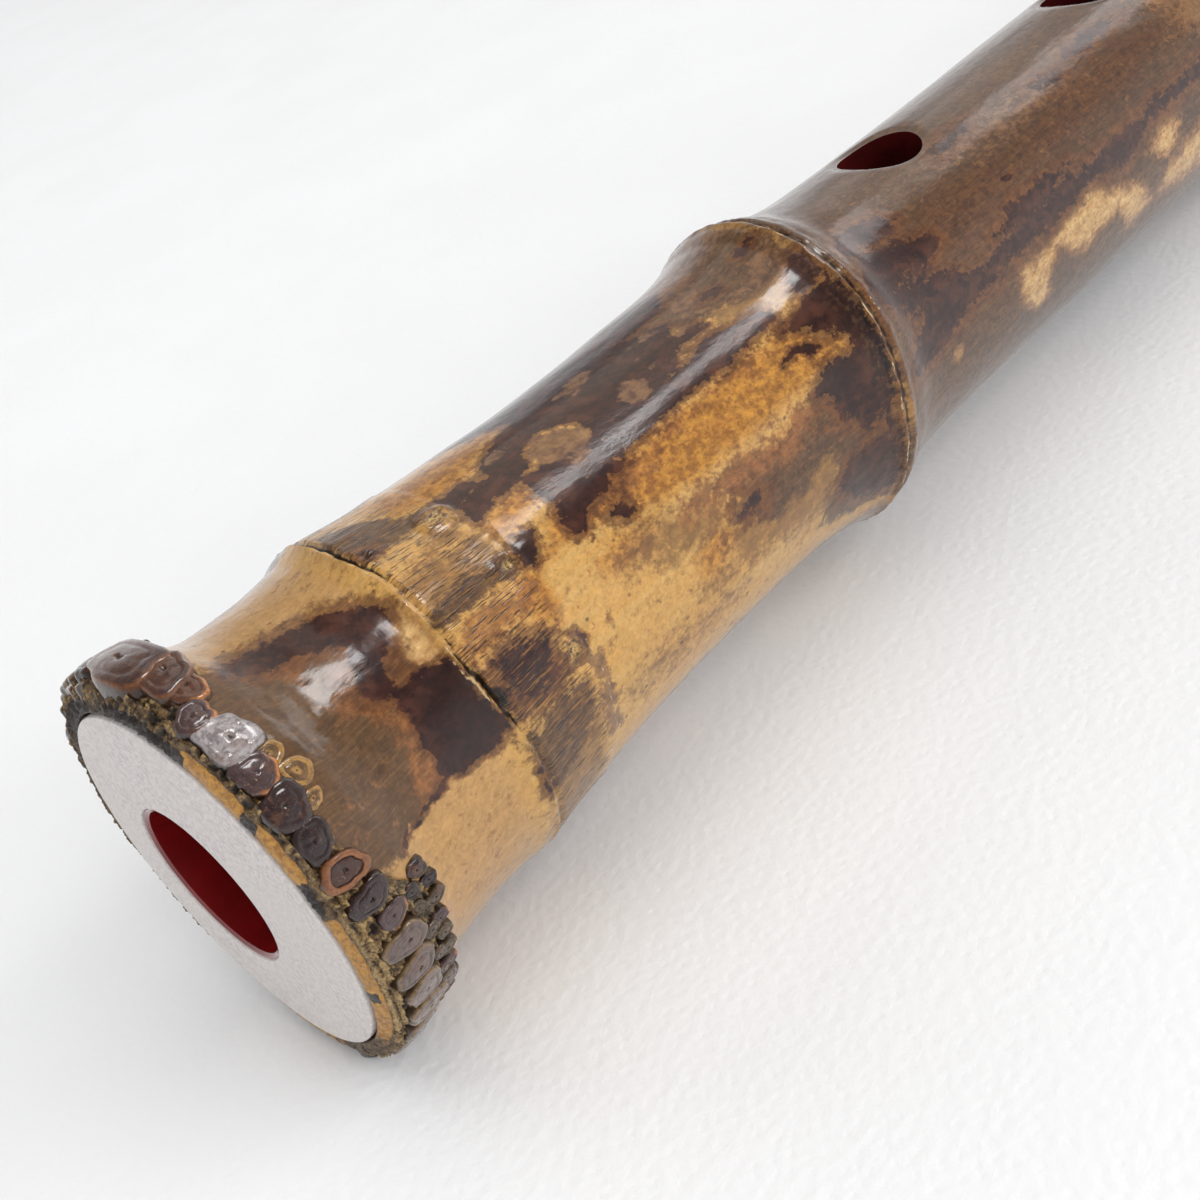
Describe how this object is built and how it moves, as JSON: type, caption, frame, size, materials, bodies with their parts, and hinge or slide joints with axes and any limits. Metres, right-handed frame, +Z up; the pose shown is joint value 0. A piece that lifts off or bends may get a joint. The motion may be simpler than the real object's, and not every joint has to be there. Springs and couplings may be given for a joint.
{
  "type": "shakuhachi",
  "caption": "End-blown bamboo flute in two joints: flared root end with ground stubs, lacquered bore, tone holes, rattan-bound middle joint and a sloped blowing edge with a horn inlay.",
  "frame": {"origin": "on the surface the flute lies on, under the centre of its bounding box", "axes": "+X along the flute from the root end to the mouth end, +Z up, out of the four front tone holes; the bore axis falls 0.697 degrees towards the mouth end"},
  "size_m": [0.5454, 0.049, 0.0499],
  "materials": {
    "bamboo": "polished golden-brown bamboo with dark purple-brown stains",
    "end_plate": "pale warm grey, matt",
    "red_lacquer": "deep red lacquer, glossy",
    "dark_lacquered_wood": "black-brown lacquered wood, satin",
    "rattan": "dark lacquered rattan, wound flat",
    "ring_metal": "polished silver-coloured ring",
    "horn": "polished black horn"
  },
  "bodies": {
    "lower_joint": {"lower_culm": "bamboo", "root_end_plate": "end_plate", "lower_bore_lining": "red_lacquer", "tenon_sleeve": "dark_lacquered_wood", "lower_rattan_binding": "rattan", "lower_joint_ring": "ring_metal"},
    "socket": {"socket_sleeve": "dark_lacquered_wood"},
    "upper_joint": {"upper_culm": "bamboo", "upper_bore_lining": "red_lacquer", "upper_rattan_binding": "rattan", "upper_joint_ring": "ring_metal", "blowing_edge_inlay": "horn"}
  },
  "joints": [
    {"name": "joint_pull", "type": "slide", "parent": "lower_joint", "child": "socket", "axis": [0.9999, 0, -0.0122], "range_m": [0, 0.05]},
    {"name": "joint_twist", "type": "hinge", "parent": "socket", "child": "upper_joint", "pos_m": [-0.02343, -0.00027, 0.02174], "axis": [0.9999, 0, -0.0122], "continuous": true}
  ]
}
